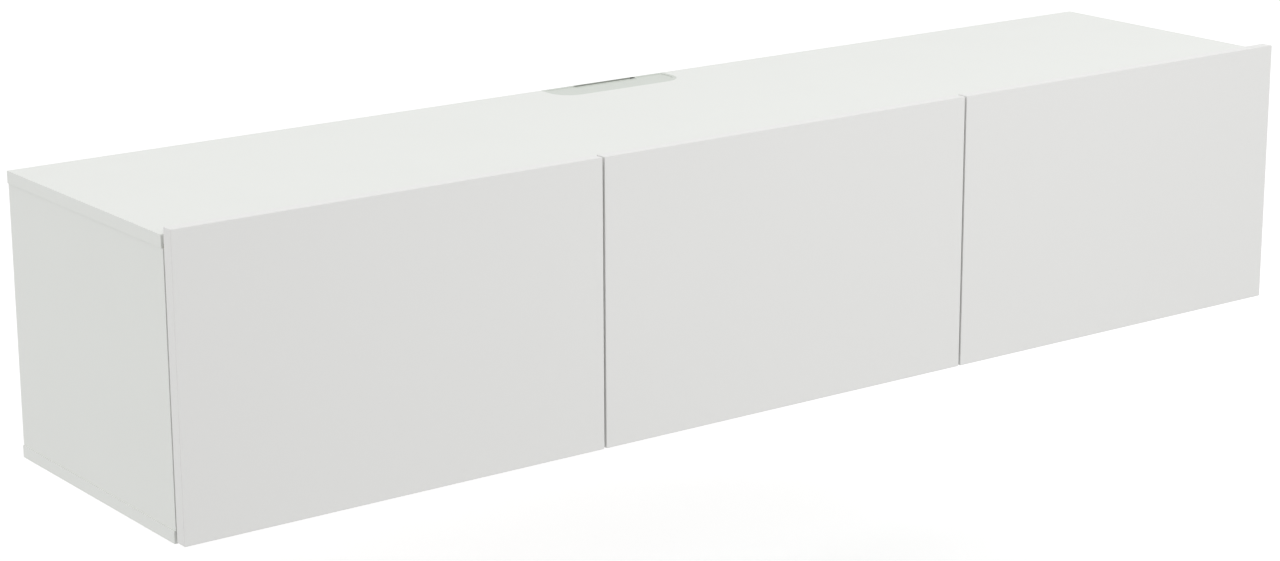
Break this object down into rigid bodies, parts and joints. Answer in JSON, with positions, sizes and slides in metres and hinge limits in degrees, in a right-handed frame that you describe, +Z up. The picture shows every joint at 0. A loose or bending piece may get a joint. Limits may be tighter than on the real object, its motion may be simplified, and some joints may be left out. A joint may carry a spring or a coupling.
{
  "type": "floating media console",
  "caption": "Long low wall-hung cabinet with plain push-to-open doors, shelves and a cable outlet in the top.",
  "frame": {"origin": "on the wall plane, at the middle of the suspension rail's back face", "axes": "+X to the right seen from the front, +Y towards the wall, +Z up"},
  "size_m": [1.8, 0.42, 0.38],
  "materials": {
    "carcass_foil": "white foil on particle board, low sheen",
    "door_lacquer": "white lacquer on fibreboard, satin",
    "back_board": "painted hardboard, matt",
    "outlet_moulding": "pale moulded plastic, fine grain",
    "zinc_steel": "bright zinc plate",
    "nickel_plate": "nickel plate, polished",
    "latch_moulding": "grey moulded plastic"
  },
  "bodies": {
    "carcass": {"top_panel": "carcass_foil", "bottom_panel": "carcass_foil", "left_side": "carcass_foil", "left_partition": "carcass_foil", "right_partition": "carcass_foil", "right_side": "carcass_foil", "back_panel": "back_board", "cable_outlet_trim": "outlet_moulding", "wall_rail": "zinc_steel", "left_side_hanger": "zinc_steel", "left_partition_hanger": "zinc_steel", "right_partition_hanger": "zinc_steel", "right_side_hanger": "zinc_steel", "left_shelf": "carcass_foil", "centre_shelf": "carcass_foil", "right_shelf": "carcass_foil", "left_lower_hinge_plate": "zinc_steel", "left_lower_hinge_arm": "nickel_plate", "left_upper_hinge_plate": "zinc_steel", "left_upper_hinge_arm": "nickel_plate", "centre_lower_hinge_plate": "zinc_steel", "centre_lower_hinge_arm": "nickel_plate", "centre_upper_hinge_plate": "zinc_steel", "centre_upper_hinge_arm": "nickel_plate", "right_lower_hinge_plate": "zinc_steel", "right_lower_hinge_arm": "nickel_plate", "right_upper_hinge_plate": "zinc_steel", "right_upper_hinge_arm": "nickel_plate", "left_latch_housing": "latch_moulding", "centre_latch_housing": "latch_moulding", "right_latch_housing": "latch_moulding"},
    "left_outer_links": {"left_lower_hinge_outer_link": "zinc_steel", "left_upper_hinge_outer_link": "zinc_steel"},
    "left_inner_links": {"left_lower_hinge_inner_link": "zinc_steel", "left_upper_hinge_inner_link": "zinc_steel"},
    "left_door_leaf": {"left_door": "door_lacquer", "left_lower_hinge_cup": "nickel_plate", "left_upper_hinge_cup": "nickel_plate", "left_latch_strike": "zinc_steel"},
    "left_plunger": {"left_latch_plunger": "latch_moulding"},
    "centre_outer_links": {"centre_lower_hinge_outer_link": "zinc_steel", "centre_upper_hinge_outer_link": "zinc_steel"},
    "centre_inner_links": {"centre_lower_hinge_inner_link": "zinc_steel", "centre_upper_hinge_inner_link": "zinc_steel"},
    "centre_door_leaf": {"centre_door": "door_lacquer", "centre_lower_hinge_cup": "nickel_plate", "centre_upper_hinge_cup": "nickel_plate", "centre_latch_strike": "zinc_steel"},
    "centre_plunger": {"centre_latch_plunger": "latch_moulding"},
    "right_outer_links": {"right_lower_hinge_outer_link": "zinc_steel", "right_upper_hinge_outer_link": "zinc_steel"},
    "right_inner_links": {"right_lower_hinge_inner_link": "zinc_steel", "right_upper_hinge_inner_link": "zinc_steel"},
    "right_door_leaf": {"right_door": "door_lacquer", "right_lower_hinge_cup": "nickel_plate", "right_upper_hinge_cup": "nickel_plate", "right_latch_strike": "zinc_steel"},
    "right_plunger": {"right_latch_plunger": "latch_moulding"}
  },
  "joints": [
    {"name": "left_outer_links_swing", "type": "hinge", "parent": "carcass", "child": "left_outer_links", "pos_m": [-0.8687, -0.3882, -0.24], "axis": [0, 0, 1], "range_deg": [0, 41.37]},
    {"name": "left_door_open", "type": "hinge", "parent": "left_outer_links", "child": "left_door_leaf", "pos_m": [-0.8885, -0.405, -0.24], "axis": [0, 0, -1], "range_deg": [0, 146.36]},
    {"name": "left_inner_links_swing", "type": "hinge", "parent": "carcass", "child": "left_inner_links", "pos_m": [-0.8565, -0.3976, -0.24], "axis": [0, 0, 1], "range_deg": [0, 36.34]},
    {"name": "left_plunger_slide", "type": "slide", "parent": "carcass", "child": "left_plunger", "axis": [0, -1, 0], "range_m": [0, 0.0201]},
    {"name": "centre_outer_links_swing", "type": "hinge", "parent": "carcass", "child": "centre_outer_links", "pos_m": [-0.2687, -0.3882, -0.24], "axis": [0, 0, 1], "range_deg": [0, 41.37]},
    {"name": "centre_door_open", "type": "hinge", "parent": "centre_outer_links", "child": "centre_door_leaf", "pos_m": [-0.2885, -0.405, -0.24], "axis": [0, 0, -1], "range_deg": [0, 146.36]},
    {"name": "centre_inner_links_swing", "type": "hinge", "parent": "carcass", "child": "centre_inner_links", "pos_m": [-0.2565, -0.3976, -0.24], "axis": [0, 0, 1], "range_deg": [0, 36.34]},
    {"name": "centre_plunger_slide", "type": "slide", "parent": "carcass", "child": "centre_plunger", "axis": [0, -1, 0], "range_m": [0, 0.0201]},
    {"name": "right_outer_links_swing", "type": "hinge", "parent": "carcass", "child": "right_outer_links", "pos_m": [0.8687, -0.3882, -0.24], "axis": [0, 0, -1], "range_deg": [0, 41.37]},
    {"name": "right_door_open", "type": "hinge", "parent": "right_outer_links", "child": "right_door_leaf", "pos_m": [0.8885, -0.405, -0.24], "axis": [0, 0, 1], "range_deg": [0, 146.36]},
    {"name": "right_inner_links_swing", "type": "hinge", "parent": "carcass", "child": "right_inner_links", "pos_m": [0.8565, -0.3976, -0.24], "axis": [0, 0, -1], "range_deg": [0, 36.34]},
    {"name": "right_plunger_slide", "type": "slide", "parent": "carcass", "child": "right_plunger", "axis": [0, -1, 0], "range_m": [0, 0.0201]}
  ],
  "couplings": [
    {"joint": "left_outer_links_swing", "follows": "left_door_open", "ratio": 0.28263},
    {"joint": "left_inner_links_swing", "follows": "left_door_open", "ratio": 0.24826},
    {"joint": "left_plunger_slide", "follows": "left_door_open", "m_per_rad": 0.007829},
    {"joint": "centre_outer_links_swing", "follows": "centre_door_open", "ratio": 0.28263},
    {"joint": "centre_inner_links_swing", "follows": "centre_door_open", "ratio": 0.24826},
    {"joint": "centre_plunger_slide", "follows": "centre_door_open", "m_per_rad": 0.007829},
    {"joint": "right_outer_links_swing", "follows": "right_door_open", "ratio": 0.28263},
    {"joint": "right_inner_links_swing", "follows": "right_door_open", "ratio": 0.24826},
    {"joint": "right_plunger_slide", "follows": "right_door_open", "m_per_rad": 0.007829}
  ]
}
